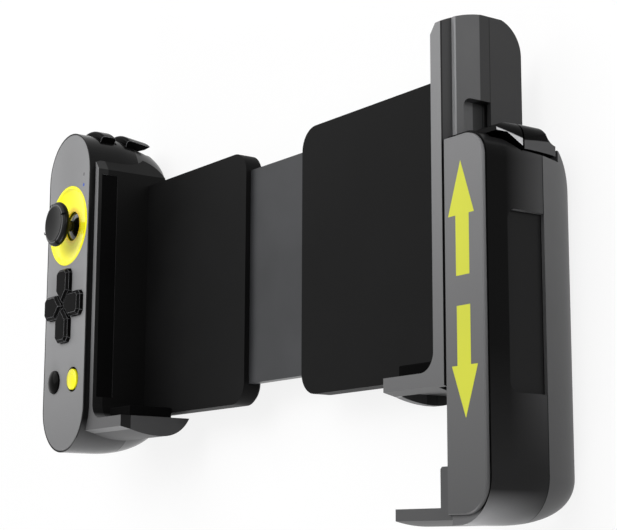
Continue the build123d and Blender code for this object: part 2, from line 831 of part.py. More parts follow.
def clamp_section():
    """The clamp seen along X: a belly below, a shallow arch above"""
    seam_front = frame_back - clamp_seam
    seam_tail = clamp_seam - clamp_back
    arch = foot + arch_rise
    with BuildSketch() as outline:
        with BuildLine():
            lip = Line((foot, frame_front), (foot - belly_lip, frame_back))
            belly = ThreePointArc(
                lip @ 1,
                (foot - belly_front_drop, clamp_seam + seam_front * belly_front_share),
                (foot - belly_drop, clamp_seam),
            )
            tail = ThreePointArc(
                belly @ 1,
                (foot - belly_tail_drop, clamp_back + seam_tail * belly_tail_share),
                (foot + tail_rise, clamp_back),
            )
            back = Line(tail @ 1, (arch - 2 * arch_tail_round, clamp_back))
            corner = RadiusArc(back @ 1, (arch, clamp_back + 2 * arch_tail_round), -2 * arch_tail_round)
            crown = ThreePointArc(
                corner @ 1,
                (arch - arch_front_drop / 4, (clamp_back + 2 * arch_tail_round + frame_front) / 2),
                (arch - arch_front_drop, frame_front),
            )
            Line(crown @ 1, lip @ 0)
        make_face()
    return outline.sketch


def left_outline():
    """The left clamp in front view, running in under the pod"""
    lift = (left_wall - pod_x) * top_slope_share
    with BuildSketch() as outline:
        with BuildLine():
            Polyline(
                (pod_x, foot - over),
                (left_ledge_end, foot - over),
                (left_ledge_end, ledge_top),
                (left_wall, ledge_top),
                (left_wall, strip_top),
                (pod_x, strip_top + lift),
                close=True,
            )
        make_face()
        fillet(outline.vertices().sort_by_distance((left_wall, ledge_top))[0], corner_round)
    return outline.sketch


def right_outline(outer):
    """The right clamp in front view, up to its outer side"""
    lift = (outer - right_wall) * top_slope_share
    with BuildSketch() as outline:
        with BuildLine():
            Polyline(
                (outer, foot - over),
                (right_ledge_end, foot - over),
                (right_ledge_end, ledge_top),
                (right_wall, ledge_top),
                (right_wall, strip_top),
                (outer, strip_top + lift),
                close=True,
            )
        make_face()
        fillet(outline.vertices().sort_by_distance((right_wall, ledge_top))[0], corner_round)
    return outline.sketch


def clamp_half(outline, low, high):
    """A clamp piece: its front outline between two heights, inside the clamp's section"""
    with BuildPart() as half:
        with BuildSketch(Plane.XY.offset(low)):
            add(outline())
        extrude(amount=high - low)
        with BuildSketch(lengthways(-half_length - over)):
            add(clamp_section())
        extrude(amount=2 * half_length + 2 * over, mode=Mode.INTERSECT)
    return half.part


# Rubber pads: a strip let into each wall near its front edge, and one on each ledge
wall_pad_low = 9.7
wall_pad_end_gap = 1.7
wall_pad_height = strip_rise - wall_pad_low - wall_pad_end_gap
wall_pad_front = 1.2
wall_pad_width = 5.3
wall_pad_depth = 0.8
wall_pad_sink = 0.1
ledge_pad_height = 3.0
ledge_pad_front = 3.6
ledge_pad_end_gap = 1.2
bridge_front_drop = 17.4
bridge_front = frame_front - bridge_front_drop


def wall_pad(wall, inward, grow):
    """The pad in a clamp wall; inward is 1 where the wall faces +X and -1 where it faces -X"""
    bottom = wall - inward * (wall_pad_depth + grow)
    top = wall + inward * (grow * over - (1 - grow) * wall_pad_sink)
    with BuildPart() as pad:
        with BuildSketch(Plane.XY.offset(frame_front - wall_pad_front - wall_pad_width)):
            with Locations(((bottom + top) / 2, foot + wall_pad_low + wall_pad_height / 2)):
                Rectangle(abs(top - bottom), wall_pad_height)
        extrude(amount=wall_pad_width)
    return pad.part


save(wall_pad(left_wall, 1, 0), "left_wall_pad")
save(wall_pad(right_wall, -1, 0), "right_wall_pad")

# Telescopic bridge behind the opening: a sleeve on each clamp, a rail between them, and brake shoes
sleeve_low = 4.7
sleeve_end_gap = 3.2
sleeve_height = strip_rise - sleeve_low - sleeve_end_gap
left_sleeve_length = 55.0
right_sleeve_length = 74.2
sleeve_corner = 6.0
sleeve_edge = 0.8
rail_thickness = 2.8
rail_margin = 5.5
rail_height = sleeve_height - 2 * rail_margin
rail_gap = 0.1
rail_left_reach = 26.0
rail_right_bite = 36.5
shoe_inset = 4.0
shoe_length = 10.0
shoe_depth = 2.0
shoe_gap = 0.05
rail_screw_radius = 1.0
rail_screw_head_radius = 2.0
rail_screw_head = 0.8
rail_screw_inset = 8.0
rail_screw_spread = 20.0
sleeve_foot = foot + sleeve_low
sleeve_middle = sleeve_foot + sleeve_height / 2
bridge_middle = (clamp_back + bridge_front) / 2
left_sleeve_end = left_wall + left_sleeve_length
right_sleeve_end = right_wall - right_sleeve_length
rail_left = left_sleeve_end - rail_left_reach
rail_right = right_sleeve_end + rail_right_bite
shoe_middle = left_sleeve_end - shoe_inset - shoe_length / 2
shoe_spread = rail_height / 2 + shoe_gap + shoe_depth / 2


def sleeve(wall, end, cavity_from, cavity_to):
    """A hollow flat sleeve from a clamp wall to its free end, cut clear of the clamp's inner corner"""
    inward = 1 if end > wall else -1
    cut = corner_round + ledge_top - sleeve_foot + running
    with BuildPart() as box:
        with BuildSketch(Plane.XY.offset(clamp_back)) as outline:
            with BuildLine():
                Polyline(
                    (wall + inward * cut, sleeve_foot),
                    (end, sleeve_foot),
                    (end, sleeve_foot + sleeve_height),
                    (wall, sleeve_foot + sleeve_height),
                    (wall, sleeve_foot + cut),
                    close=True,
                )
            make_face()
            fillet(outline.vertices().filter_by(lambda v: abs(v.X - end) < snug), sleeve_corner)
        extrude(amount=bridge_front - clamp_back)
        chamfer(box.faces().sort_by(Axis.Z)[0].outer_wire().edges(), sleeve_edge)
        with BuildSketch(lengthways(min(cavity_from, cavity_to))):
            with Locations((sleeve_middle, bridge_middle)):
                Rectangle(rail_height + 2 * rail_gap, rail_thickness + 2 * rail_gap)
        extrude(amount=abs(cavity_to - cavity_from), mode=Mode.SUBTRACT)
    return box.part


shoe_spots = [
    (shoe_middle, sleeve_middle - shoe_spread),
    (shoe_middle, sleeve_middle + shoe_spread),
]

with BuildPart() as left_bridge_sleeve:
    add(sleeve(left_wall, left_sleeve_end, left_wall + shell_wall, left_sleeve_end + over))
    with BuildSketch(Plane.XY.offset(bridge_middle - rail_thickness / 2)):
        with Locations(*shoe_spots):
            Rectangle(shoe_length + 2 * shoe_gap, shoe_depth + 2 * shoe_gap)
    extrude(amount=rail_thickness, mode=Mode.SUBTRACT)
save(left_bridge_sleeve.part, "left_bridge_sleeve")

with BuildPart() as bridge_brake_shoes:
    with BuildSketch(Plane.XY.offset(bridge_middle - rail_thickness / 2)):
        with Locations(*shoe_spots):
            Rectangle(shoe_length, shoe_depth)
    extrude(amount=rail_thickness)
save(bridge_brake_shoes.part, "bridge_brake_shoes")

rail_screw_x = rail_right - rail_screw_inset
rail_screw_spots = [
    (rail_screw_x, sleeve_middle - rail_screw_spread),
    (rail_screw_x, sleeve_middle + rail_screw_spread),
]
rail_low = bridge_middle - rail_thickness / 2

with BuildPart() as right_bridge_sleeve:
    add(sleeve(right_wall, right_sleeve_end, right_sleeve_end - over, rail_right + snug))
    with BuildSketch(Plane.XY.offset(clamp_back)):
        with Locations(*rail_screw_spots):
            Circle(rail_screw_radius)
    extrude(amount=rail_low - clamp_back, mode=Mode.SUBTRACT)
    with BuildSketch(Plane.XY.offset(clamp_back)):
        with Locations(*rail_screw_spots):
            Circle(rail_screw_head_radius + snug)
    extrude(amount=rail_screw_head, mode=Mode.SUBTRACT)
save(right_bridge_sleeve.part, "right_bridge_sleeve")

with BuildPart() as bridge_rail:
    with BuildSketch(Plane.XY.offset(rail_low)):
        with Locations(((rail_left + rail_right) / 2, sleeve_middle)):
            Rectangle(rail_right - rail_left, rail_height)
    extrude(amount=rail_thickness)
    with BuildSketch(Plane.XY.offset(rail_low)):
        with Locations(*rail_screw_spots):
            Circle(rail_screw_radius)
    extrude(amount=rail_thickness, mode=Mode.SUBTRACT)
save(bridge_rail.part, "bridge_rail")

with BuildPart() as rail_screws:
    with BuildSketch(Plane.XY.offset(clamp_back)):
        with Locations(*rail_screw_spots):
            Circle(rail_screw_head_radius)
    extrude(amount=rail_screw_head)
    with BuildSketch(Plane.XY.offset(clamp_back)):
        with Locations(*rail_screw_spots):
            Circle(rail_screw_radius)
    extrude(amount=rail_low + rail_thickness - clamp_back)
save(rail_screws.part, "rail_screws")

# Left clamp pieces
pod_room = pod_hull(-running)

with BuildPart() as left_clamp_frame:
    add(clamp_half(left_outline, frame_back, frame_front))
    add(pod_room, mode=Mode.SUBTRACT)
    add(wall_pad(left_wall, 1, 1), mode=Mode.SUBTRACT)
save(left_clamp_frame.part, "left_clamp_frame")

with BuildPart() as left_clamp_body:
    add(clamp_half(left_outline, clamp_seam, frame_back))
    add(pod_room, mode=Mode.SUBTRACT)
    add(wall_pad(left_wall, 1, 1), mode=Mode.SUBTRACT)
save(left_clamp_body.part, "left_clamp_body")

with BuildPart() as left_clamp_back:
    add(clamp_half(left_outline, clamp_back, clamp_seam))
    add(pod_room, mode=Mode.SUBTRACT)
save(left_clamp_back.part, "left_clamp_back")


def ledge_pad(wall, inward):
    """The rubber pad that lies on a ledge"""
    start = wall + inward * (corner_round + snug)
    end = wall + inward * (bar_reach - ledge_pad_end_gap)
    with BuildPart() as pad:
        with BuildSketch(Plane.XY.offset(bridge_front + snug)):
            with Locations(((start + end) / 2, ledge_top + ledge_pad_height / 2)):
                Rectangle(abs(end - start), ledge_pad_height)
        extrude(amount=frame_front - ledge_pad_front - bridge_front - snug)
        chamfer(pad.faces().sort_by(Axis.Y)[-1].edges(), edge_break)
    return pad.part


save(ledge_pad(left_wall, 1), "left_ledge_pad")
save(ledge_pad(right_wall, -1), "right_ledge_pad")

# Right clamp: its outer side has the T slot that the grip's tongue runs in, its ledge is hollow
# below for the grip's shelf, and its foot has a pocket for the shelf's tab
channel_depth = 1.3
channel_width = 8.1
undercut_depth = 1.4
undercut_overlap = 1.4
channel_fall = 14.4
channel_rise = strip_rise - channel_fall
channel_round = 2.2
tab_wall = 0.7
tab_height = 8.7
tab_depth = 10.0
shelf_drop = 25.85
grip_slide_length = 25.0
tab_room_height = tab_height + grip_slide_length - shelf_drop + travel_gap
channel_front = clamp_seam + channel_width
tab_front = grip_front


def slot_outline(grow):
    """The slot in the clamp's side, seen along X, with its upper front corner rounded"""
    head = foot + channel_rise
    front = channel_front + grow
    with BuildSketch() as outline:
        with BuildLine():
            rear = Line((foot - over, clamp_seam - grow), (head, clamp_seam - grow))
            top = Line(rear @ 1, (head, front - channel_round))
            bend = RadiusArc(top @ 1, (head - channel_round, front), -channel_round)
            side = Line(bend @ 1, (foot - over, front))
            Line(side @ 1, rear @ 0)
        make_face()
    return outline.sketch


with BuildPart() as right_room:
    with BuildSketch(lengthways(slab_side - channel_depth)):
        add(slot_outline(0))
    extrude(amount=channel_depth + over)
    with BuildSketch(lengthways(slab_side - channel_depth - undercut_depth)):
        add(slot_outline(undercut_overlap))
    extrude(amount=undercut_depth)
    with BuildSketch(lengthways(right_wall + tab_wall)):
        with BuildLine():
            Polyline(
                (foot - over, tab_front + snug),
                (foot - over, tab_front - tab_depth - snug),
                (foot + tab_room_height, tab_front - tab_depth - snug),
                (foot + tab_room_height, tab_front + snug),
                close=True,
            )
        make_face()
    extrude(amount=slab_width + over)

belly_start = right_ledge_end + fin_thickness
with BuildPart() as belly_room:
    with BuildSketch(Plane.XY.offset(-over)):
        with Locations((belly_start, foot)):
            Rectangle(bar_reach + slab_width + over, 2 * over, align=(Align.MIN, Align.MAX))
    extrude(amount=frame_back + over)

with BuildPart() as right_clamp_frame:
    add(clamp_half(lambda: right_outline(right_wall + right_strip_width), frame_back, frame_front))
    add(wall_pad(right_wall, -1, 1), mode=Mode.SUBTRACT)
    add(right_room.part, mode=Mode.SUBTRACT)
save(right_clamp_frame.part, "right_clamp_frame")

with BuildPart() as right_clamp_body:
    add(clamp_half(lambda: right_outline(slab_side), clamp_seam, frame_back))
    add(wall_pad(right_wall, -1, 1), mode=Mode.SUBTRACT)
    add(right_room.part, mode=Mode.SUBTRACT)
    add(belly_room.part, mode=Mode.SUBTRACT)
save(right_clamp_body.part, "right_clamp_body")

with BuildPart() as right_clamp_back:
    add(clamp_half(lambda: right_outline(slab_side), clamp_back, clamp_seam))
    add(right_room.part, mode=Mode.SUBTRACT)
    add(belly_room.part, mode=Mode.SUBTRACT)
save(right_clamp_back.part, "right_clamp_back")

# Sliding grip: its lower outer corner is turned about an upright axis, with the same quarter ellipse
# behind both of its sides; its upper end falls away to the back in a longer curve
grip_tail_flat = 3.8
grip_corner = 10.3
grip_curve_depth = 18.0
grip_head_round = 6.2
grip_head_reach = 18.0
grip_head_depth = 12.0
grip_x = grip_outer - grip_corner
grip_low = grip_foot + grip_corner


def grip_quarter(inset):
    """The curved half of the grip's cross-section, from its turning axis outward"""
    with BuildSketch() as quarter:
        with BuildLine():
            floor = Line((0, inset), (grip_tail_flat, inset))
            curve = EllipticalCenterArc(
                (grip_tail_flat, grip_curve_depth),
                grip_corner - grip_tail_flat - inset,
                grip_curve_depth - inset,
                start_angle=270,
                arc_size=90,
            )
            wall = Line(curve @ 1, (grip_corner - inset, grip_front))
            lid = Line(wall @ 1, (0, grip_front))
            Line(lid @ 1, floor @ 0)
        make_face()
    return quarter.sketch


def grip_section(inset):
    """The whole cross-section of the grip, with its straight inner side"""
    inner = grip_inner + inset - grip_x
    with BuildSketch() as section:
        add(grip_quarter(inset))
        with BuildLine():
            Polyline((inner, inset), (0, inset), (0, grip_front), (inner, grip_front), close=True)
        make_face()
    return section.sketch


def grip_hull(inset):
    """The grip's outer form, drawn in by inset on every side but the front"""
    inner = grip_inner + inset - grip_x
    foot_plane = Plane(origin=(grip_x, grip_low, 0), x_dir=(0, -1, 0), z_dir=(-1, 0, 0))
    head = grip_top - inset
    outer = grip_outer - inset
    with BuildPart() as hull:
        with BuildSketch(upright(0, head)):
            with Locations((grip_x, 0)):
                add(grip_section(inset))
        extrude(amount=head - grip_low)
        with BuildSketch(upright(grip_x, grip_low)):
            add(grip_quarter(inset))
        revolve(axis=Axis((grip_x, grip_low, 0), (0, 0, -1)), revolution_arc=90)
        with BuildSketch(foot_plane):
            add(grip_quarter(inset))
        extrude(amount=-inner)
        with BuildSketch(lengthways(grip_inner - over)):
            with BuildLine():
                Polyline(
                    (grip_foot - over, -over),
                    (head - grip_head_reach, -over),
                    (head - grip_head_reach, inset),
                )
                EllipticalCenterArc(
                    (head - grip_head_reach, grip_head_depth),
                    grip_head_reach,
                    grip_head_depth - inset,
                    start_angle=270,
                    arc_size=90,
                )
                Polyline(
                    (head, grip_head_depth),
                    (head, frame_front + over),
                    (grip_foot - over, frame_front + over),
                    (grip_foot - over, -over),
                )
            make_face()
        extrude(amount=grip_width + 2 * over, mode=Mode.INTERSECT)
        with BuildSketch(Plane.XY.offset(-over)) as front_view:
            with Locations((outer, head)):
                Rectangle(
                    grip_width + 2 * over, head - grip_foot + over, align=(Align.MAX, Align.MAX)
                )
            fillet(front_view.vertices().group_by(Axis.X)[-1].sort_by(Axis.Y)[-1], grip_head_round - inset)
        extrude(amount=frame_front + 2 * over, mode=Mode.INTERSECT)
    return hull.part


# Panel on the grip's front
panel_overhang = 0.5
panel_side_inset = 0.6
panel_foot_inset = 2.1
panel_top_inset = 0.6
panel_thickness = 1.8
panel_foot_round = 7.0
panel_top_round = 5.6
panel_left = grip_inner - panel_overhang
panel_right = grip_outer - panel_side_inset
panel_foot = grip_foot + panel_foot_inset
panel_top = grip_top - panel_top_inset
panel_back = frame_front - panel_thickness


def panel_outline(grow):
    """The panel in front view, with both outer corners rounded"""
    left = panel_left - grow * over
    right = panel_right + grow
    low = panel_foot - grow
    high = panel_top + grow
    with BuildSketch() as outline:
        with BuildLine():
            side = Line((left, high), (left, low))
            base = Line(side @ 1, (right - panel_foot_round, low))
            foot_arc = RadiusArc(base @ 1, (right, low + panel_foot_round), -panel_foot_round)
            wall = Line(foot_arc @ 1, (right, high - panel_top_round))
            top_arc = RadiusArc(wall @ 1, (right - panel_top_round, high), -panel_top_round)
            Line(top_arc @ 1, side @ 0)
        make_face()
    return outline.sketch


with BuildPart() as grip_front_panel:
    with BuildSketch(Plane.XY.offset(panel_back)):
        add(panel_outline(0))
    extrude(amount=panel_thickness)
    chamfer(grip_front_panel.faces().sort_by(Axis.Z)[-1].outer_wire().edges(), edge_break)
save(grip_front_panel.part, "grip_front_panel")

# Finger recess in the grip's outer side, from the seam forward
recess_fall = 17.3
recess_length = 39.3
recess_width = 11.0
recess_depth = 1.3
recess_corner = 2.4

with BuildPart() as finger_recess:
    with BuildSketch(lengthways(grip_outer - recess_depth)) as recess_outline:
        with Locations((grip_top - recess_fall, grip_seam)):
            Rectangle(recess_length, recess_width, align=(Align.MAX, Align.MIN))
        fillet(recess_outline.vertices().group_by(Axis.Y)[-1], recess_corner)
    extrude(amount=recess_depth + over)

# Shoulder bumper and trigger on the grip's top, each with its side face flush with the grip's side
cap_inner_wall = 1.1
cap_side_gap = 0.1
right_cap_rise = 2.8
right_cap_corner = 3.8
right_bumper_front = 4.1
right_bumper_depth = 7.5
right_bumper_lip = 0.5
right_bumper_lip_depth = 3.0
right_bumper_heel = 2.9
right_bumper_brow = 0.6
right_bumper_brow_depth = 3.0
right_bumper_brow_rise = 1.9
right_trigger_gap = 0.5
right_trigger_depth = 10.4
right_trigger_lip = 3.5
right_trigger_tail_round = 4.0
right_swing_gap = 0.8
right_lug_low = 6.3
right_pin_low = 5.1
cap_left = grip_inner + cap_inner_wall + cap_side_gap
cap_right = grip_outer - cap_side_gap
cap_high = grip_top + right_cap_rise
bumper_room_gap = bumper_travel + travel_gap
right_bumper_top = frame_front - right_bumper_front
right_bumper_bottom = right_bumper_top - right_bumper_depth
right_bumper_bend = right_bumper_top - right_bumper_lip_depth
right_trigger_top = right_bumper_bottom - right_trigger_gap
right_trigger_bottom = right_trigger_top - right_trigger_depth
right_trigger_low = grip_top - right_trigger_lip
right_pin_y = grip_top - right_pin_low
right_pin_z = right_trigger_top - lug_depth / 2
right_lug_x = (cap_left + cap_right) / 2


def cap_block(outline):
    """A shoulder cap across the grip's top, inside the grip's section, its outer corner rounded"""
    with BuildPart() as block:
        with BuildSketch(lengthways(cap_left)):
            add(outline)
        extrude(amount=grip_width)
        with BuildSketch(Plane.XY.offset(-over)) as front_view:
            with Locations((cap_right, cap_high)):
                Rectangle(grip_width, grip_width, align=(Align.MAX, Align.MAX))
            fillet(front_view.vertices().group_by(Axis.X)[-1].sort_by(Axis.Y)[-1], right_cap_corner)
        extrude(amount=frame_front + 2 * over, mode=Mode.INTERSECT)
        with BuildSketch(upright(0, cap_high + over)):
            with Locations((grip_x, 0)):
                add(grip_section(cap_side_gap))
        extrude(amount=grip_width + over, mode=Mode.INTERSECT)
    return block.part


with BuildSketch() as right_bumper_outline:
    with BuildLine():
        front_face = Line(
            (grip_top - right_bumper_lip, right_bumper_top), (grip_top + right_bumper_brow, right_bumper_top)
        )
        crown = ThreePointArc(
            front_face @ 1,
            (grip_top + right_bumper_brow_rise, right_bumper_top - right_bumper_brow_depth),
            (cap_high, right_bumper_bottom),
        )
        Polyline(
            crown @ 1,
            (grip_top - right_bumper_heel, right_bumper_bottom),
            (grip_top - right_bumper_lip, right_bumper_bend),
            front_face @ 0,
        )
    make_face()

with BuildPart() as right_bumper:
    add(cap_block(right_bumper_outline.sketch))
save(right_bumper.part, "right_bumper")

with BuildSketch() as right_trigger_outline:
    with BuildLine():
        tail_bend = cap_high - right_trigger_tail_round
        tail_face = Line((right_trigger_low, right_trigger_bottom), (tail_bend, right_trigger_bottom))
        tail_top = right_trigger_bottom + right_trigger_tail_round
        tail_arc = RadiusArc(tail_face @ 1, (cap_high, tail_top), right_trigger_tail_round)
        Polyline(
            tail_arc @ 1,
            (cap_high, right_trigger_top),
            (right_trigger_low, right_trigger_top),
            tail_face @ 0,
        )
    make_face()

with BuildPart() as right_trigger:
    add(cap_block(right_trigger_outline.sketch))
    with BuildSketch(Plane.XY.offset(right_trigger_top - lug_depth)):
        with Locations((right_lug_x, grip_top - right_lug_low)):
            Rectangle(
                lug_width, right_lug_low - right_trigger_lip + edge_break, align=(Align.CENTER, Align.MIN)
            )
    extrude(amount=lug_depth)
    with BuildSketch(lengthways(right_lug_x - lug_width)):
        with Locations((right_pin_y, right_pin_z)):
            Circle(pin_radius + running)
    extrude(amount=lug_width + lug_width, mode=Mode.SUBTRACT)
save(right_trigger.part, "right_trigger")

with BuildPart() as right_trigger_pin:
    with BuildSketch(lengthways(right_lug_x - pin_length / 2)):
        with Locations((right_pin_y, right_pin_z)):
            Circle(pin_radius)
    extrude(amount=pin_length)
save(right_trigger_pin.part, "right_trigger_pin")

bumper_floor = grip_top - right_bumper_lip - bumper_room_gap
trigger_floor = right_trigger_low - bumper_room_gap
right_bumper_switch = (right_lug_x, bumper_floor - snug, right_bumper_bend + switch_height / 2)
right_trigger_switch = (right_lug_x, trigger_floor - snug, right_trigger_bottom + switch_height)

with BuildPart() as right_shoulder_switches:
    add(shoulder_switch(*right_bumper_switch))
    add(shoulder_switch(*right_trigger_switch))
save(right_shoulder_switches.part, "right_shoulder_switches")

with BuildPart() as cap_room:
    with BuildSketch(lengthways(grip_inner + cap_inner_wall)):
        with BuildLine():
            Polyline(
                (grip_top + over, right_bumper_top + travel_gap),
                (bumper_floor, right_bumper_top + travel_gap),
                (bumper_floor, right_bumper_bend),
                (grip_top - right_bumper_heel - bumper_room_gap, right_bumper_bottom),
                (right_trigger_low - travel_gap, right_trigger_top),
                (trigger_floor, right_trigger_bottom - right_swing_gap),
                (grip_top + over, right_trigger_bottom - right_swing_gap),
                close=True,
            )
        make_face()
    extrude(amount=grip_width + over)
    with BuildSketch(Plane.XY.offset(right_trigger_top - lug_depth - travel_gap)):
        with Locations((right_lug_x, grip_top - right_lug_low - travel_gap)):
            Rectangle(lug_width + 2 * travel_gap, right_lug_low, align=(Align.CENTER, Align.MIN))
    extrude(amount=lug_depth + 2 * travel_gap)
    with BuildSketch(lengthways(right_lug_x - pin_length / 2)):
        with Locations((right_pin_y, right_pin_z)):
            Circle(pin_radius)
    extrude(amount=pin_length)
    add(switch_pocket(*right_bumper_switch))
    add(switch_pocket(*right_trigger_switch))

# Grip shells
grip_wall = 1.6
grip_cavity_top = 9.0
grip_cavity_foot = 4.0
grip_screw_x = (grip_inner + grip_outer) / 2 - grip_wall
grip_screw_seat = 4.0
grip_screw_tip = grip_seam + 5.5
grip_screw_inset = 5.6
grip_screw_spots = [
    (grip_screw_x, grip_foot + grip_screw_inset + grip_wall),
    (grip_screw_x, grip_top - grip_screw_inset - right_lug_low),
]
boss_radius = 2.4

with BuildPart() as grip_cavity:
    add(grip_hull(grip_wall))
    split(bisect_by=Plane.XY.offset(panel_back - grip_wall), keep=Keep.BOTTOM)
    split(bisect_by=Plane(origin=(0, grip_top - grip_cavity_top, 0), z_dir=(0, 1, 0)), keep=Keep.BOTTOM)
    split(bisect_by=Plane(origin=(0, grip_foot + grip_cavity_foot, 0), z_dir=(0, 1, 0)), keep=Keep.TOP)
    with BuildSketch(Plane.XY):
        with Locations(*grip_screw_spots):
            Circle(boss_radius)
    extrude(amount=grip_front, mode=Mode.SUBTRACT)

with BuildPart() as grip_screw_holes:
    with BuildSketch(Plane.XY.offset(grip_screw_seat)):
        with Locations(*grip_screw_spots):
            Circle(screw_radius)
    extrude(amount=grip_screw_tip - grip_screw_seat)
    with BuildSketch(Plane.XY.offset(-over)):
        with Locations(*grip_screw_spots):
            Circle(screw_head_radius + snug)
    extrude(amount=grip_screw_seat + over)

with BuildPart() as grip_front_shell:
    add(grip_hull(0))
    split(bisect_by=Plane.XY.offset(grip_seam), keep=Keep.TOP)
    add(grip_cavity.part, mode=Mode.SUBTRACT)
    with BuildSketch(Plane.XY.offset(panel_back)):
        add(panel_outline(running))
    extrude(amount=panel_thickness + over, mode=Mode.SUBTRACT)
    add(finger_recess.part, mode=Mode.SUBTRACT)
    add(cap_room.part, mode=Mode.SUBTRACT)
    add(grip_screw_holes.part, mode=Mode.SUBTRACT)
save(grip_front_shell.part, "grip_front_shell")

with BuildPart() as grip_rear_shell:
    add(grip_hull(0))
    split(bisect_by=Plane.XY.offset(grip_seam), keep=Keep.BOTTOM)
    add(grip_cavity.part, mode=Mode.SUBTRACT)
    add(cap_room.part, mode=Mode.SUBTRACT)
    add(grip_screw_holes.part, mode=Mode.SUBTRACT)
save(grip_rear_shell.part, "grip_rear_shell")

with BuildPart() as grip_screws:
    with BuildSketch(Plane.XY.offset(grip_screw_seat)):
        with Locations(*grip_screw_spots):
            Circle(screw_radius)
    extrude(amount=grip_screw_tip - grip_screw_seat)
    with BuildSketch(Plane.XY.offset(grip_screw_seat - screw_head)):
        with Locations(*grip_screw_spots):
            Circle(screw_head_radius)
    extrude(amount=screw_head)
save(grip_screws.part, "grip_screws")

# Shelf at the grip's foot, with its tab, and the tongue that runs in the right clamp
shelf_end_gap = 0.7
shelf_front_height = 2.6
shelf_low_depth = 8.8
shelf_tail = 22.0
shelf_top = foot - shelf_drop
shelf_left = belly_start + shelf_end_gap
tab_left = right_wall + tab_wall + snug
tab_right = panel_left - snug

with BuildPart() as grip_shelf:
    with BuildSketch(lengthways(shelf_left)):
        with BuildLine():
            lowest = (grip_foot, grip_front - shelf_low_depth)
            front_edge = Line((shelf_top, grip_front), (shelf_top - shelf_front_height, grip_front))
            TangentArc(lowest, front_edge @ 1, tangent=(0, 1))
            tail = TangentArc(lowest, (shelf_top, grip_front - shelf_tail), tangent=(0, -1))
            Line(tail @ 1, front_edge @ 0)
        make_face()
    extrude(amount=grip_inner - shelf_left)
    with BuildSketch(Plane.XY.offset(grip_front - tab_depth)) as tab_outline:
        with Locations((tab_left, shelf_top - edge_break)):
            Rectangle(tab_right - tab_left, tab_height + edge_break, align=(Align.MIN, Align.MIN))
        chamfer(tab_outline.vertices().group_by(Axis.Y)[-1].sort_by(Axis.X)[0], 2 * edge_break)
    extrude(amount=tab_depth)
    with BuildSketch(Plane.XY.offset(panel_back - snug)):
        add(panel_outline(snug))
    extrude(amount=panel_thickness + over, mode=Mode.SUBTRACT)
save(grip_shelf.part, "grip_shelf")

tongue_low = 1.0
tongue_length = channel_rise - channel_round - grip_slide_length - tongue_low - travel_gap
tongue_neck = channel_width - 2 * snug
with BuildPart() as grip_tongue:
    with BuildSketch(lengthways(slab_side - channel_depth)):
        with Locations((foot + tongue_low, clamp_seam + snug)):
            Rectangle(tongue_length, tongue_neck, align=(Align.MIN, Align.MIN))
    extrude(amount=channel_depth + slide_gap)
    with BuildSketch(lengthways(slab_side - channel_depth - undercut_depth + snug)):
        with Locations((foot + tongue_low, clamp_seam - undercut_overlap + snug)):
            tongue_width = channel_width + 2 * undercut_overlap - 2 * snug
            Rectangle(tongue_length, tongue_width, align=(Align.MIN, Align.MIN))
    extrude(amount=undercut_depth - 2 * snug)
    with BuildSketch(lengthways(slab_side - channel_depth - snug)):
        with Locations((foot + tongue_low, clamp_seam + snug)):
            Rectangle(tongue_length, tongue_neck, align=(Align.MIN, Align.MIN))
    extrude(amount=snug)
save(grip_tongue.part, "grip_tongue")

# Small board in the grip for its two shoulder switches
grip_board_length = 24.0
grip_board_width = 7.0
grip_board_top = panel_back - grip_wall
with BuildPart() as right_circuit_board:
    with BuildSketch(Plane.XY.offset(grip_board_top - board_thickness)):
        with Locations((grip_inner + grip_wall + snug, (grip_foot + grip_top) / 2)):
            Rectangle(grip_board_width, grip_board_length, align=(Align.MIN, Align.CENTER))
    extrude(amount=board_thickness)
save(right_circuit_board.part, "right_circuit_board")
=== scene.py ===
import math

import bmesh
import bpy
from mathutils import Matrix, Vector


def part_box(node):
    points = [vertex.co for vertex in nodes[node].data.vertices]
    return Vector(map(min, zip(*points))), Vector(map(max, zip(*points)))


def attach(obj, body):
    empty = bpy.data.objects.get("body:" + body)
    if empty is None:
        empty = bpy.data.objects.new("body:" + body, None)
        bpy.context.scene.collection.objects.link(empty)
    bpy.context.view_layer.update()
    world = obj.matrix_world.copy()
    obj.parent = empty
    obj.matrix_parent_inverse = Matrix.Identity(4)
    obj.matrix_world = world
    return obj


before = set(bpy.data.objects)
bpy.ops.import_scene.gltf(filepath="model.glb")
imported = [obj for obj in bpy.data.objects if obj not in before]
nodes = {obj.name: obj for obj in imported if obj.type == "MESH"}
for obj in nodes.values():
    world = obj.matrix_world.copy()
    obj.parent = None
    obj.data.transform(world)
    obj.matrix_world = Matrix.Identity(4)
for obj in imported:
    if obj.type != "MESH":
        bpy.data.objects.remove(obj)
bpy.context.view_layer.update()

MM = 0.001
PLUS_X, PLUS_Y, PLUS_Z, MINUS_Y = (1, 0, 0), (0, 1, 0), (0, 0, 1), (0, -1, 0)
STICK = (-0.087825, 0.03105)
WHITE = (1, 1, 1, 1)


# Node helpers

MIX_FROM, MIX_TO, MIX_RESULT = 6, 7, 2


def new_tree(owner):
    """An empty node tree for a material or the world."""
    owner.use_nodes = True
    owner.node_tree.nodes.clear()
    return owner.node_tree


def add_node(tree, kind, values=None, **settings):
    """A new node, with its settings and the values of its unlinked inputs."""
    node = tree.nodes.new(kind)
    for name, value in settings.items():
        setattr(node, name, value)
    for socket, value in (values or {}).items():
        node.inputs[socket].default_value = value
    return node


def span(tree, source, low, high):
    """0 to 1 as a value goes from low to high."""
    reach = add_node(tree, "ShaderNodeMapRange", {"From Min": low, "From Max": high})
    tree.links.new(source, reach.inputs["Value"])
    return reach.outputs["Result"]


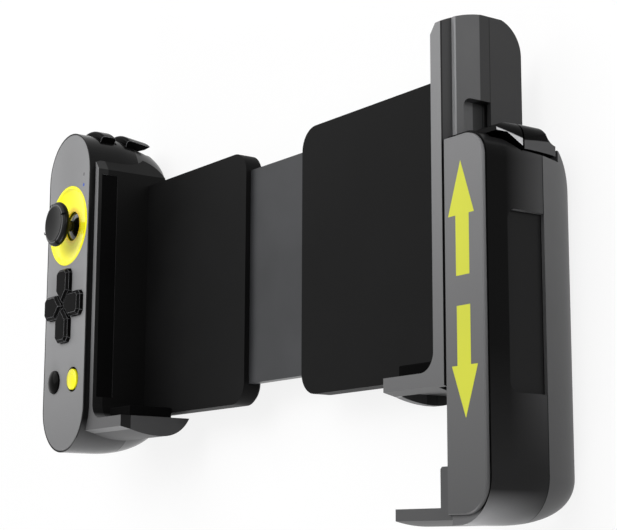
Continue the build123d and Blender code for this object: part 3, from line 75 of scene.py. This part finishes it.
def dot_range(tree, source, direction, low, high):
    """0 to 1 as a vector's share along a direction goes from low to high."""
    dot = add_node(tree, "ShaderNodeVectorMath", operation="DOT_PRODUCT")
    dot.inputs[1].default_value = direction
    tree.links.new(source, dot.inputs[0])
    return span(tree, dot.outputs["Value"], low, high)


def distance_range(tree, source, centre, low, high):
    """0 to 1 as the distance from an upright line in front view goes from low to high."""
    flat = add_node(tree, "ShaderNodeVectorMath", operation="MULTIPLY")
    flat.inputs[1].default_value = (1, 1, 0)
    gap = add_node(tree, "ShaderNodeVectorMath", operation="DISTANCE")
    gap.inputs[1].default_value = (*centre, 0)
    tree.links.new(source, flat.inputs[0])
    tree.links.new(flat.outputs[0], gap.inputs[0])
    return span(tree, gap.outputs["Value"], low, high)


def mix_colour(tree, share, before, colour):
    """A colour that changes into another by a share."""
    mix = add_node(tree, "ShaderNodeMix", data_type="RGBA")
    mix.inputs[MIX_TO].default_value = (*colour, 1.0)
    tree.links.new(share, mix.inputs["Factor"])
    tree.links.new(before, mix.inputs[MIX_FROM])
    return mix.outputs[MIX_RESULT]


def principled(mat):
    """The main shader of a material."""
    return next(n for n in mat.node_tree.nodes if n.type == "BSDF_PRINCIPLED")


# Plastics

COAT_ROUGHNESS = 0.06
GRAIN_HEIGHT = 0.00004
LEAST_ROUGHNESS = 0.02
BLOTCH_STOPS = (0.3, 0.7)
BLOTCH_DETAIL, GRAIN_DETAIL = 4.0, 3.0
# Painted highlight: a light colour laid along sharp edges, where glints of the lamps would be
EDGE_RADIUS = 0.00035
EDGE_SAMPLES = 6
EDGE_TURN = (0.995, 0.8)
PAINTED_EDGE_HIGHLIGHT = (0.30, 0.30, 0.31)


def edge_share(tree, amount):
    """How much of a sharp edge is at a place, for the painted edge highlight: its normal against
    that of the edge rounded off.
    """
    rounded = add_node(tree, "ShaderNodeBevel", {"Radius": EDGE_RADIUS}, samples=EDGE_SAMPLES)
    surface = add_node(tree, "ShaderNodeNewGeometry")
    dot = add_node(tree, "ShaderNodeVectorMath", operation="DOT_PRODUCT")
    tree.links.new(rounded.outputs["Normal"], dot.inputs[0])
    tree.links.new(surface.outputs["Normal"], dot.inputs[1])
    sharp, soft = EDGE_TURN
    edge = add_node(
        tree,
        "ShaderNodeMapRange",
        {"From Min": sharp, "From Max": soft, "To Min": 0.0, "To Max": amount},
    )
    tree.links.new(dot.outputs["Value"], edge.inputs["Value"])
    return edge.outputs["Result"]


def plastic(
    name,
    dark,
    light,
    rough=0.4,
    rough_spread=0.06,
    spec=0.5,
    coat=0.0,
    grain=900.0,
    grain_bump=0.12,
    blotch=40.0,
    metallic=0.0,
    shine=0.0,
):
    """Moulded plastic: a faint colour blotch, a fine grain in the bump, a roughness that varies.

    Its last argument is how strongly a highlight is painted along its sharp edges.
    """
    mat = bpy.data.materials.new(name)
    tree = new_tree(mat)
    link = tree.links.new
    out = add_node(tree, "ShaderNodeOutputMaterial")
    shader = add_node(
        tree,
        "ShaderNodeBsdfPrincipled",
        {
            "Specular IOR Level": spec,
            "Coat Weight": coat,
            "Coat Roughness": COAT_ROUGHNESS,
            "Metallic": metallic,
        },
    )
    place = add_node(tree, "ShaderNodeTexCoord").outputs["Object"]
    cloud = add_node(tree, "ShaderNodeTexNoise", {"Scale": blotch, "Detail": BLOTCH_DETAIL})
    fine = add_node(tree, "ShaderNodeTexNoise", {"Scale": grain, "Detail": GRAIN_DETAIL})
    link(place, cloud.inputs["Vector"])
    link(place, fine.inputs["Vector"])

    ramp = add_node(tree, "ShaderNodeValToRGB")
    for stop, position, colour in zip(ramp.color_ramp.elements, BLOTCH_STOPS, (dark, light)):
        stop.position = position
        stop.color = (*colour, 1.0)
    link(cloud.outputs["Fac"], ramp.inputs["Fac"])
    colour = ramp.outputs["Color"]
    # Painted highlight along the sharp edges
    if shine:
        colour = mix_colour(tree, edge_share(tree, shine), colour, PAINTED_EDGE_HIGHLIGHT)
    link(colour, shader.inputs["Base Color"])

    low, high = max(LEAST_ROUGHNESS, rough - rough_spread), rough + rough_spread
    spread = add_node(tree, "ShaderNodeMapRange", {"To Min": low, "To Max": high})
    link(cloud.outputs["Fac"], spread.inputs["Value"])
    link(spread.outputs["Result"], shader.inputs["Roughness"])

    bump = add_node(tree, "ShaderNodeBump", {"Strength": grain_bump, "Distance": GRAIN_HEIGHT})
    link(fine.outputs["Fac"], bump.inputs["Height"])
    link(bump.outputs["Normal"], shader.inputs["Normal"])
    link(shader.outputs["BSDF"], out.inputs["Surface"])
    return mat


def dull(v):
    """A grey with a trace of blue."""
    return v, v, v * 1.02


def look(name, dark, light, **kw):
    """A grey or black plastic between two brightnesses."""
    return plastic(name, dull(dark), dull(light), **kw)


def paint_light_and_tone(mat, colour, normal=None, turn=(0.5, 0.8), along=None, around=None, low=0.0, high=1.0):
    """Changes a colour on faces turned one way, beyond a place along a direction, or both; mostly
    painted shade and painted highlights.

    around gives a point in front view: the place is then the distance from the line through it.
    """
    tree = mat.node_tree
    base = principled(mat).inputs["Base Color"]
    shares = []
    if along:
        place = add_node(tree, "ShaderNodeTexCoord").outputs["Object"]
        shares.append(dot_range(tree, place, along, low, high))
    if around:
        place = add_node(tree, "ShaderNodeTexCoord").outputs["Object"]
        shares.append(distance_range(tree, place, around, low, high))
    if normal:
        surface = add_node(tree, "ShaderNodeNewGeometry")
        shares.append(dot_range(tree, surface.outputs["Normal"], normal, *turn))
    share = shares[0]
    if len(shares) > 1:
        both = add_node(tree, "ShaderNodeMath", operation="MULTIPLY")
        tree.links.new(shares[0], both.inputs[0])
        tree.links.new(shares[1], both.inputs[1])
        share = both.outputs[0]
    tree.links.new(mix_colour(tree, share, base.links[0].from_socket, colour), base)


M = {}

# Grey front faces
FRONT = {"rough": 0.42, "grain": 1500.0, "grain_bump": 0.12}
M["plate"] = look(
    "faceplate_grey", 0.25, 0.28, rough=0.38, grain=1500.0, grain_bump=0.10, blotch=25.0, spec=0.25
)
# Painted shade: darker towards the bottom
paint_light_and_tone(M["plate"], dull(0.17), along=PLUS_Y, low=0.0, high=-0.035)
M["frame"] = look("frame_grey", 0.205, 0.225, blotch=25.0, spec=0.25, **FRONT)
# Painted shade: darker towards the bottom, on faces turned down and turned right, near-black on
# right faces at the front
paint_light_and_tone(M["frame"], dull(0.11), along=PLUS_Y, low=0.040, high=-0.035)
paint_light_and_tone(M["frame"], dull(0.04), normal=MINUS_Y)
paint_light_and_tone(M["frame"], dull(0.035), normal=PLUS_X)
paint_light_and_tone(M["frame"], dull(0.001), normal=PLUS_X, along=PLUS_Z, low=0.02935, high=0.0295)
M["left_frame"] = look("left_frame_grey", 0.20, 0.22, spec=0.2, **FRONT)
# Painted shade: darker towards the bottom, and near-black on faces turned right
paint_light_and_tone(M["left_frame"], dull(0.10), along=PLUS_Y, low=0.0, high=-0.025)
paint_light_and_tone(M["left_frame"], dull(0.004), normal=PLUS_X)
M["panel"] = look("panel_grey", 0.160, 0.178, blotch=18.0, spec=0.25, **FRONT)
# Painted shade: darker towards the bottom
paint_light_and_tone(M["panel"], dull(0.070), along=PLUS_Y, low=0.02, high=-0.06)
M["shelf"] = look("shelf_grey", 0.060, 0.070, blotch=18.0, spec=0.2, **FRONT)
# Painted shade: faces turned down are darker
paint_light_and_tone(M["shelf"], dull(0.018), normal=MINUS_Y)

# Glossy black shell, keys and shoulder buttons
GLOSS = {"rough": 0.2, "rough_spread": 0.03, "grain": 900.0, "grain_bump": 0.03}
M["gloss"] = look(
    "shell_gloss_black",
    0.004,
    0.006,
    rough=0.16,
    rough_spread=0.03,
    grain=700.0,
    grain_bump=0.03,
    spec=0.10,
)
# Painted reflection: faces turned down are lighter
paint_light_and_tone(M["gloss"], dull(0.10), normal=MINUS_Y, turn=(0.3, 1.0))
M["keys"] = look("key_gloss_black", 0.002, 0.003, spec=0.02, shine=0.9, **GLOSS)
M["buttons"] = look(
    "button_gloss_black",
    0.002,
    0.003,
    rough=0.12,
    rough_spread=0.02,
    grain=900.0,
    grain_bump=0.03,
    spec=0.04,
)
M["bumper"] = look("bumper_gloss_black", 0.002, 0.003, spec=0.03, **GLOSS)
# Painted highlight: a light band along the lower part of the bumper's right side
paint_light_and_tone(M["bumper"], dull(0.50), normal=PLUS_X, along=(0, 1, -0.194), low=0.01745, high=0.0172)
M["trigger"] = look("trigger_gloss_black", 0.002, 0.003, spec=0.03, **GLOSS)
# Painted highlight: a grey band along the lower part of the trigger's right side
paint_light_and_tone(M["trigger"], dull(0.075), normal=PLUS_X, along=(0, 1, 0.103), low=0.02253, high=0.02233)

# Cap of the stick, with a painted highlight ring round its dish and painted shade on its side
M["cap"] = look(
    "cap_black",
    0.005,
    0.009,
    rough=0.34,
    rough_spread=0.05,
    grain=1600.0,
    grain_bump=0.16,
    spec=0.1,
    shine=0.8,
)
# Painted highlight: a light ring round the dish; painted shade: near-black on the rounded side
paint_light_and_tone(M["cap"], dull(0.10), around=STICK, low=0.00555, high=0.00565)
paint_light_and_tone(M["cap"], dull(0.006), around=STICK, low=0.00590, high=0.00600)
paint_light_and_tone(M["cap"], dull(0.001), around=STICK, low=0.00655, high=0.00675)

# Clamps, with painted shade on the left inner wall, and painted shade bands in depth and a painted
# highlight line on the right one
CLAMP = {"grain": 1200.0, "grain_bump": 0.2}
M["clamp"] = look("clamp_black", 0.050, 0.058, rough=0.5, spec=0.1, **CLAMP)
# Painted shade: near-black on faces turned right along the inner wall
paint_light_and_tone(M["clamp"], dull(0.001), normal=PLUS_X, along=PLUS_X, low=-0.0700, high=-0.0710)
M["slab"] = look("slab_grey", 0.085, 0.100, rough=0.45, spec=0.2, **CLAMP)
# Painted shade: the side darkens in two steps towards the back; painted highlight: a light line
# along its front edge
paint_light_and_tone(M["slab"], dull(0.026), along=PLUS_Z, low=0.0192, high=0.0190)
paint_light_and_tone(M["slab"], dull(0.006), along=PLUS_Z, low=0.0163, high=0.0162)
paint_light_and_tone(M["slab"], dull(0.28), along=PLUS_Z, low=0.0261, high=0.0262)
M["slab_back"] = look("slab_back_grey", 0.026, 0.030, rough=0.45, spec=0.2, **CLAMP)

# Grip shells and the pod's rear shell
M["grip"] = look(
    "grip_black", 0.046, 0.052, rough=0.30, grain=1300.0, grain_bump=0.18, spec=0.05
)
# Painted shade: near-black towards the front
paint_light_and_tone(M["grip"], dull(0.001), along=PLUS_Z, low=0.0135, high=0.0235)
# Painted light: lighter on the lower part of the right side and on the floor of the finger recess
paint_light_and_tone(M["grip"], dull(0.012), normal=PLUS_X, along=PLUS_Y, low=-0.025, high=-0.050)
paint_light_and_tone(M["grip"], dull(0.012), normal=PLUS_X, along=PLUS_X, low=0.1009, high=0.1006)
# Painted highlight: faces turned down are lighter towards the front
paint_light_and_tone(
    M["grip"], dull(0.24), normal=MINUS_Y, turn=(0.3, 1.0), along=PLUS_Z, low=0.010, high=0.027
)
# Painted highlight: a light band on front faces at the bottom
paint_light_and_tone(M["grip"], dull(0.14), normal=PLUS_Z, along=PLUS_Y, low=-0.0585, high=-0.0600)
paint_light_and_tone(M["grip"], dull(0.003), along=PLUS_Z, low=0.0126, high=0.0125)
M["grip_back"] = look(
    "grip_back_grey", 0.085, 0.100, rough=0.42, grain=1300.0, grain_bump=0.2, spec=0.2
)
# Painted shade: darker towards the bottom
paint_light_and_tone(M["grip_back"], dull(0.050), along=PLUS_Y, low=0.02, high=-0.06)
M["rear"] = look(
    "rear_black", 0.012, 0.016, rough=0.30, grain=1300.0, grain_bump=0.18, spec=0.4
)
# Painted reflection: faces turned down are lighter
paint_light_and_tone(M["rear"], dull(0.10), normal=MINUS_Y, turn=(0.3, 1.0))

# Bridge sleeves and rubber
M["sleeve"] = look(
    "sleeve_black", 0.004, 0.006, rough=0.5, grain=1300.0, grain_bump=0.22, spec=0.05
)
M["rubber"] = look(
    "rubber_black", 0.002, 0.003, rough=0.8, grain=1900.0, grain_bump=0.35, spec=0.02
)

# Yellow ring with painted warm shade towards its hub and a faint painted glow, yellow button and
# lamps
YELLOW = {"grain": 1200.0, "grain_bump": 0.05, "coat": 0.1, "spec": 0.3}
M["yellow"] = plastic(
    "ring_yellow",
    (0.92, 0.84, 0.010),
    (0.96, 0.90, 0.015),
    rough=0.24,
    rough_spread=0.04,
    **YELLOW,
)
M["ring"] = plastic(
    "stick_ring_yellow",
    (0.94, 0.87, 0.010),
    (0.98, 0.93, 0.015),
    rough=0.20,
    rough_spread=0.03,
    **YELLOW,
)
# Painted shade: the ring turns orange towards its hub
paint_light_and_tone(M["ring"], (0.90, 0.45, 0.006), around=STICK, low=0.0062, high=0.0046)
# Painted glow: a faint emission that brightens the ring, which is no lamp
painted_glow = principled(M["ring"])
painted_glow.inputs["Emission Color"].default_value = (0.98, 0.92, 0.010, 1.0)
painted_glow.inputs["Emission Strength"].default_value = 0.22
M["lamp"] = plastic(
    "lamp_blue", (0.02, 0.07, 0.40), (0.03, 0.10, 0.55), rough=0.2, grain_bump=0.02
)
paint_light_and_tone(M["lamp"], dull(0.16), along=PLUS_Y, low=0.0434, high=0.0438)

# Metal, mechanism, boards and battery
M["steel"] = plastic(
    "screw_steel",
    (0.42, 0.42, 0.43),
    (0.55, 0.55, 0.56),
    rough=0.3,
    metallic=1.0,
    grain=2600.0,
    grain_bump=0.2,
)
M["alu"] = plastic(
    "rail_dark_aluminium",
    (0.035, 0.036, 0.038),
    (0.05, 0.051, 0.054),
    rough=0.38,
    metallic=0.4,
    grain=1700.0,
    grain_bump=0.25,
    spec=0.2,
)
M["acetal"] = look("acetal_black", 0.012, 0.016, rough=0.5)
M["shaft"] = look(
    "shaft_gloss_black", 0.004, 0.006, rough=0.10, rough_spread=0.02, grain_bump=0.02, spec=0.5
)
M["board"] = plastic(
    "board_green", (0.02, 0.10, 0.05), (0.03, 0.15, 0.07), rough=0.35, grain_bump=0.05
)
M["foil"] = plastic(
    "battery_foil", (0.5, 0.5, 0.51), (0.6, 0.6, 0.61), rough=0.3, metallic=1.0, grain=500.0
)

# Which pieces wear each material
worn_by = {
    "plate": "left_faceplate",
    "left_frame": "left_clamp_frame",
    "frame": "right_clamp_frame",
    "panel": "grip_front_panel",
    "shelf": "grip_shelf",
    "gloss": "left_front_shell",
    "keys": "left_bumper left_trigger dpad_up dpad_down dpad_left dpad_right",
    "bumper": "right_bumper",
    "trigger": "right_trigger",
    "cap": "thumbstick_cap",
    "buttons": "select_button",
    "rear": "left_rear_shell",
    "clamp": "left_clamp_body left_clamp_back",
    "slab": "right_clamp_body",
    "slab_back": "right_clamp_back",
    "sleeve": "left_bridge_sleeve right_bridge_sleeve",
    "grip": "grip_front_shell",
    "grip_back": "grip_rear_shell",
    "rubber": "left_wall_pad right_wall_pad left_ledge_pad right_ledge_pad button_membrane"
    " home_button_surround bridge_brake_shoes",
    "ring": "stick_ring",
    "yellow": "home_button",
    "lamp": "indicator_lamps",
    "steel": "pod_screws board_screws rail_screws grip_screws left_trigger_pin right_trigger_pin"
    " charging_socket",
    "acetal": "stick_housing stick_yoke stick_pivot grip_tongue left_shoulder_switches"
    " right_shoulder_switches",
    "alu": "bridge_rail",
    "shaft": "thumbstick_shaft",
    "board": "left_circuit_board right_circuit_board",
    "foil": "battery",
}
finish = {piece: key for key, pieces in worn_by.items() for piece in pieces.split()}
for name, obj in nodes.items():
    for slot in obj.material_slots:
        slot.material = M[finish[name]]


# Small pieces that ride on the bodies


def mesh_object(name, bm):
    """Puts a drawn mesh into the scene as an object."""
    mesh = bpy.data.meshes.new(name)
    bm.to_mesh(mesh)
    bm.free()
    obj = bpy.data.objects.new(name, mesh)
    bpy.context.scene.collection.objects.link(obj)
    return obj


def riding_piece(name, bm, mat, body):
    """Finishes a drawn mesh as a piece that moves with a body."""
    bmesh.ops.recalc_face_normals(bm, faces=bm.faces)
    obj = mesh_object(name, bm)
    obj.data.materials.append(mat)
    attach(obj, body)


def flat_plate(name, outline, z, thickness, mat, body):
    """A thin plate with the given outline in front view, standing just proud of height z."""
    bm = bmesh.new()
    low = [bm.verts.new((x * MM, y * MM, (z - thickness) * MM)) for x, y in outline]
    face = bm.faces.new(low)
    grown = bmesh.ops.extrude_face_region(bm, geom=[face])
    up = [v for v in grown["geom"] if isinstance(v, bmesh.types.BMVert)]
    bmesh.ops.translate(bm, verts=up, vec=Vector((0, 0, 2 * thickness * MM)))
    riding_piece(name, bm, mat, body)


# Printed arrows on the grip's panel, with outlines in mm in front view
PRINT_THICKNESS = 0.03
ARROWS = {
    "arrow_up": [
        (92.125, -9.35),
        (96.425, -9.35),
        (96.425, 3.85),
        (98.125, 3.85),
        (93.925, 15.75),
        (89.725, 3.85),
        (92.125, 3.85),
    ],
    "arrow_down": [
        (92.225, -15.85),
        (92.225, -28.65),
        (90.425, -28.65),
        (94.725, -39.75),
        (98.725, -28.65),
        (96.525, -28.65),
        (96.525, -15.85),
    ],
}
panel_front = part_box("grip_front_panel")[1][2] / MM
M["arrow"] = plastic(
    "arrow_yellow",
    (0.56, 0.58, 0.025),
    (0.60, 0.62, 0.03),
    rough=0.5,
    grain=1500.0,
    grain_bump=0.1,
)
for label, outline in ARROWS.items():
    flat_plate(
        label, outline, panel_front, PRINT_THICKNESS, M["arrow"], "right_grip"
    )

# Notches in the rim of the stick's cap: dark strips that follow its rounded edge, in mm
CAP_RIM, CAP_EDGE = 6.878, 1.0
NOTCH_WIDTH = 0.4
NOTCH_PROUD, NOTCH_SUNK = 0.03, 0.05
NOTCH_PARTS = 8
NOTCH_START, NOTCH_STEP = -4, 12
NOTCH_ANGLES = (20, 110, 200, 290)


def rim_strip(name, angle, width, mat, body):
    """A thin strip over the rounded edge of the stick's cap, at an angle round it."""
    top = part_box("thumbstick_cap")[1][2] / MM
    out = Vector((math.cos(angle), math.sin(angle), 0))
    side = Vector((-math.sin(angle), math.cos(angle), 0))
    middle = Vector((STICK[0] / MM, STICK[1] / MM, top - CAP_EDGE))
    bm = bmesh.new()
    upper, lower = [], []
    for k in range(NOTCH_PARTS + 1):
        t = math.radians(NOTCH_START + NOTCH_STEP * k)
        for row, reach in ((upper, CAP_EDGE + NOTCH_PROUD), (lower, CAP_EDGE - NOTCH_SUNK)):
            across = out * (CAP_RIM - CAP_EDGE + reach * math.sin(t))
            spot = middle + across + Vector(PLUS_Z) * (reach * math.cos(t))
            row.append([bm.verts.new((spot + side * w) * MM) for w in (-width / 2, width / 2)])
    for k in range(NOTCH_PARTS):
        bm.faces.new((upper[k][0], upper[k][1], upper[k + 1][1], upper[k + 1][0]))
        bm.faces.new((lower[k][0], lower[k + 1][0], lower[k + 1][1], lower[k][1]))
        bm.faces.new((upper[k][0], upper[k + 1][0], lower[k + 1][0], lower[k][0]))
        bm.faces.new((upper[k][1], lower[k][1], lower[k + 1][1], upper[k + 1][1]))
    bm.faces.new((upper[0][0], lower[0][0], lower[0][1], upper[0][1]))
    bm.faces.new((upper[-1][0], upper[-1][1], lower[-1][1], lower[-1][0]))
    riding_piece(name, bm, mat, body)


for degrees in NOTCH_ANGLES:
    rim_strip(
        "cap_notch_%d" % degrees,
        math.radians(degrees),
        NOTCH_WIDTH,
        M["rubber"],
        "thumbstick",
    )


# Floor, studio and lights

FLOOR_HALF = 2.5
FLOOR_DROP = 0.0002
FLOOR_GREY = (0.82, 0.82, 0.82, 1)
FLOOR_GLOW = 1.05
FLOOR_GLOW_SHARE = 0.80
AMBIENT = 0.20


def seen_share(tree):
    """1 for rays from the camera, a gloss or a clear piece, and 0 for those that light things."""
    path = add_node(tree, "ShaderNodeLightPath")
    share = path.outputs["Is Camera Ray"]
    for kind in ("Is Glossy Ray", "Is Transmission Ray"):
        larger = add_node(tree, "ShaderNodeMath", operation="MAXIMUM")
        tree.links.new(share, larger.inputs[0])
        tree.links.new(path.outputs[kind], larger.inputs[1])
        share = larger.outputs[0]
    return share


def mix_surface(tree, share, first, second, out):
    """Sends a mix of two shaders to an output."""
    mix = add_node(tree, "ShaderNodeMixShader")
    tree.links.new(share, mix.inputs["Fac"])
    tree.links.new(first.outputs[0], mix.inputs[1])
    tree.links.new(second.outputs[0], mix.inputs[2])
    tree.links.new(mix.outputs[0], out.inputs["Surface"])


def make_floor():
    """A pale floor that glows white to the camera and still takes the object's shadow."""
    bm = bmesh.new()
    s = FLOOR_HALF
    verts = [bm.verts.new(p) for p in ((-s, -s, 0), (s, -s, 0), (s, s, 0), (-s, s, 0))]
    bm.faces.new(verts)
    floor = mesh_object("floor", bm)
    floor.location.z = -FLOOR_DROP
    mat = bpy.data.materials.new("floor_pale")
    tree = new_tree(mat)
    out = add_node(tree, "ShaderNodeOutputMaterial")
    matt = add_node(tree, "ShaderNodeBsdfDiffuse", {"Color": FLOOR_GREY})
    glow = add_node(tree, "ShaderNodeEmission", {"Color": WHITE, "Strength": FLOOR_GLOW})
    share = add_node(tree, "ShaderNodeMath", operation="MULTIPLY")
    share.inputs[1].default_value = FLOOR_GLOW_SHARE
    tree.links.new(seen_share(tree), share.inputs[0])
    mix_surface(tree, share.outputs[0], matt, glow, out)
    floor.data.materials.append(mat)


make_floor()

world = bpy.data.worlds.new("studio")
bpy.context.scene.world = world
studio = new_tree(world)
studio_out = add_node(studio, "ShaderNodeOutputWorld")
ambient = add_node(studio, "ShaderNodeBackground", {"Color": WHITE, "Strength": AMBIENT})
backdrop = add_node(studio, "ShaderNodeBackground", {"Color": WHITE, "Strength": 1.0})
mix_surface(studio, seen_share(studio), ambient, backdrop, studio_out)


def area(name, place, aim, size, watts, tall=None):
    """A soft square or oblong light at a place, turned toward a point."""
    data = bpy.data.lights.new(name, "AREA")
    data.energy = watts
    data.size = size
    if tall:
        data.shape = "RECTANGLE"
        data.size_y = tall
    lamp = bpy.data.objects.new(name, data)
    lamp.location = place
    lamp.rotation_euler = (Vector(aim) - Vector(place)).to_track_quat("-Z", "Y").to_euler()
    bpy.context.scene.collection.objects.link(lamp)


area("key", (-0.35, 0.65, 0.95), (0, 0, 0), 1.3, 9.5)
area("front", (0.25, 0.35, 0.8), (0, 0, 0), 0.6, 2.8)
area("side", (1.1, 0.25, 0.22), (0.1, 0, 0.01), 0.5, 5.0, tall=0.35)
area("under", (-0.05, -1.0, 0.18), (0, -0.05, 0.015), 0.6, 9.0, tall=0.3)


# Camera

cam_data = bpy.data.cameras.new("camera")
cam_data.sensor_fit = "HORIZONTAL"
cam_data.sensor_width = 36.0
cam_data.lens = 93.0
cam_data.clip_start = 0.01
cam_data.clip_end = 20.0
cam = bpy.data.objects.new("camera", cam_data)
right = Vector((0.57895, 0.00392, -0.81535))
down = Vector((-0.14186, -0.98425, -0.10547))
ahead = Vector((-0.80293, 0.17673, -0.56927))
spot = Vector((0.347525, -0.06731, 0.24965))
turned = Matrix((right.normalized(), (-down).normalized(), (-ahead).normalized())).transposed()
cam.matrix_world = Matrix.Translation(spot) @ turned.to_4x4()
bpy.context.scene.collection.objects.link(cam)
bpy.context.scene.camera = cam

bpy.context.scene.view_settings.view_transform = "Standard"
